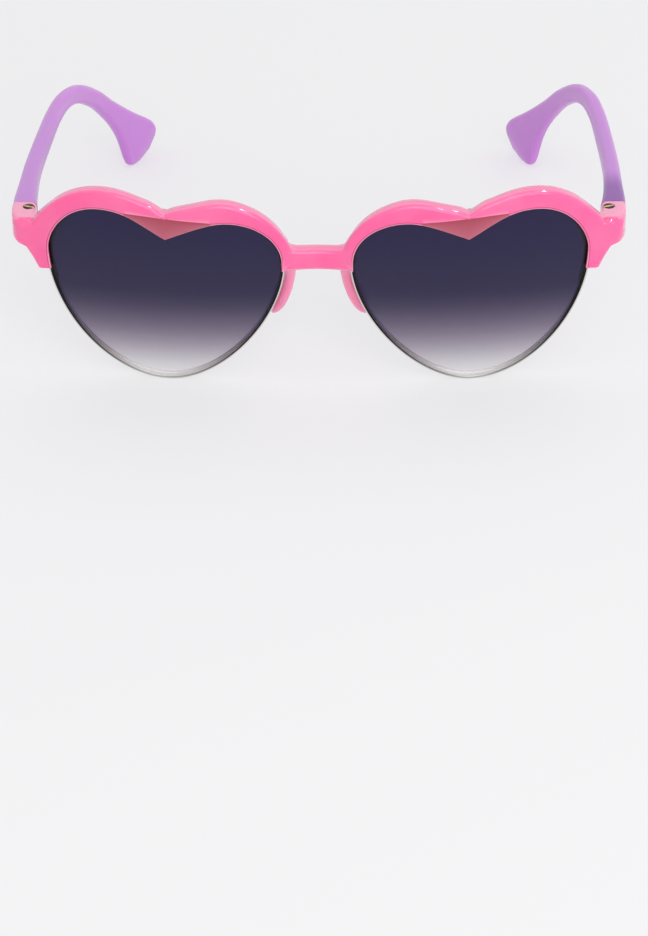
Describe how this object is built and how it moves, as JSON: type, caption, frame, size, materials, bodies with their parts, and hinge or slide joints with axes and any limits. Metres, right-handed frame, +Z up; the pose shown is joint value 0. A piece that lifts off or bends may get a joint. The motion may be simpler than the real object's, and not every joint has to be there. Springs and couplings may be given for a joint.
{
  "type": "sunglasses",
  "caption": "Heart shaped sunglasses: pink translucent front, gradient lenses in thin metal lower rims, and folding purple temples.",
  "frame": {"origin": "on the floor below the middle of the object", "axes": "+X to the wearer's left, +Y back along the temples, +Z up; the front faces -Y"},
  "size_m": [0.144, 0.1314, 0.0533],
  "materials": {
    "front_pink": "polished translucent pink",
    "lens_tint": "gradient tint, dark at the top",
    "rim_metal": "bright",
    "screw_steel": "turned",
    "temple_purple": "translucent purple",
    "hinge_brass": "darkened head"
  },
  "bodies": {
    "front": {"front_frame": "front_pink", "lens_right": "lens_tint", "lens_left": "lens_tint", "lower_rim_right": "rim_metal", "lower_rim_left": "rim_metal", "rim_screw_outer_right": "screw_steel", "rim_screw_outer_left": "screw_steel", "rim_screw_inner_right": "screw_steel", "rim_screw_inner_left": "screw_steel", "hinge_screw_right": "hinge_brass", "hinge_screw_left": "hinge_brass"},
    "temple_left": {"temple_left": "temple_purple"},
    "temple_right": {"temple_right": "temple_purple"}
  },
  "joints": [
    {"name": "fold_left", "type": "hinge", "parent": "front", "child": "temple_left", "pos_m": [0.0679, -0.05083, 0.04], "axis": [0, 0, 1], "range_deg": [0, 79]},
    {"name": "fold_right", "type": "hinge", "parent": "front", "child": "temple_right", "pos_m": [-0.0679, -0.05083, 0.04], "axis": [0, 0, -1], "range_deg": [0, 73]}
  ]
}
